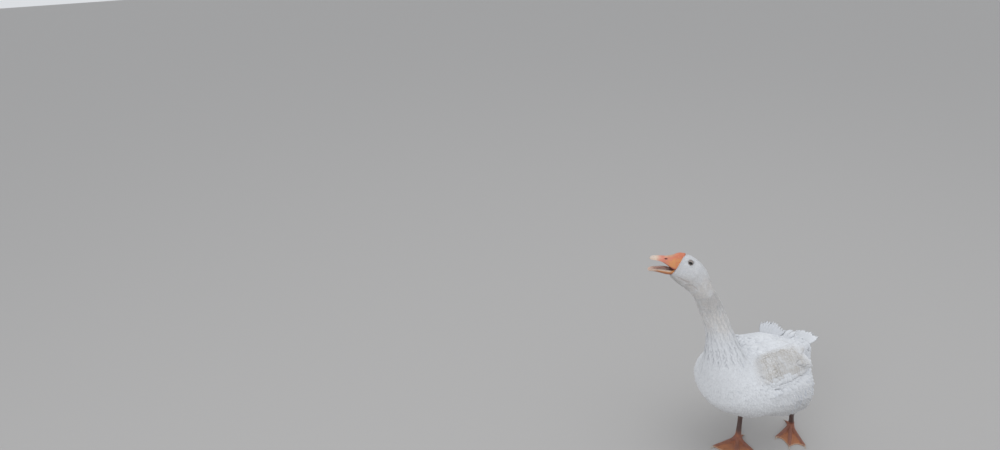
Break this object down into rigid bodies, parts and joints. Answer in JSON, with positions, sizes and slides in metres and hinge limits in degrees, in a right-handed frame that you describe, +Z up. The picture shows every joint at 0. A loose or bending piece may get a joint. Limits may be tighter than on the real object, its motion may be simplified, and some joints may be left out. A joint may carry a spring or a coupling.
{
  "type": "domestic goose",
  "caption": "Life-size still model of a white domestic goose in mid-stride, with its neck stretched up and forward and its orange bill open.",
  "frame": {"origin": "centre of the goose's bounding box, on the floor that both soles stand on", "axes": "+Z up, -Y the way the goose's body faces, +X its left side"},
  "size_m": [0.2558, 0.5194, 0.6336],
  "materials": {
    "plumage": "matt",
    "orange_bill": "satin",
    "eye": "gloss",
    "tongue": "satin",
    "foot_skin": "satin",
    "claw_horn": "satin"
  },
  "bodies": {
    "root": {"claw_left_inner": "claw_horn", "claw_left_middle": "claw_horn", "claw_left_outer": "claw_horn", "claw_right_inner": "claw_horn", "claw_right_middle": "claw_horn", "claw_right_outer": "claw_horn", "eye_left": "eye", "eye_right": "eye", "foot_left": "foot_skin", "foot_right": "foot_skin", "head": "plumage", "hind_claw_left": "claw_horn", "hind_claw_right": "claw_horn", "hind_toe_left": "foot_skin", "hind_toe_right": "foot_skin", "lower_bill": "orange_bill", "neck_lower": "plumage", "neck_upper": "plumage", "shank_left": "foot_skin", "shank_right": "foot_skin", "tail": "plumage", "tertials_left": "plumage", "tertials_right": "plumage", "thigh_left": "plumage", "thigh_right": "plumage", "tongue": "tongue", "trunk": "plumage", "upper_bill": "orange_bill", "wing_left": "plumage", "wing_right": "plumage"}
  },
  "joints": []
}
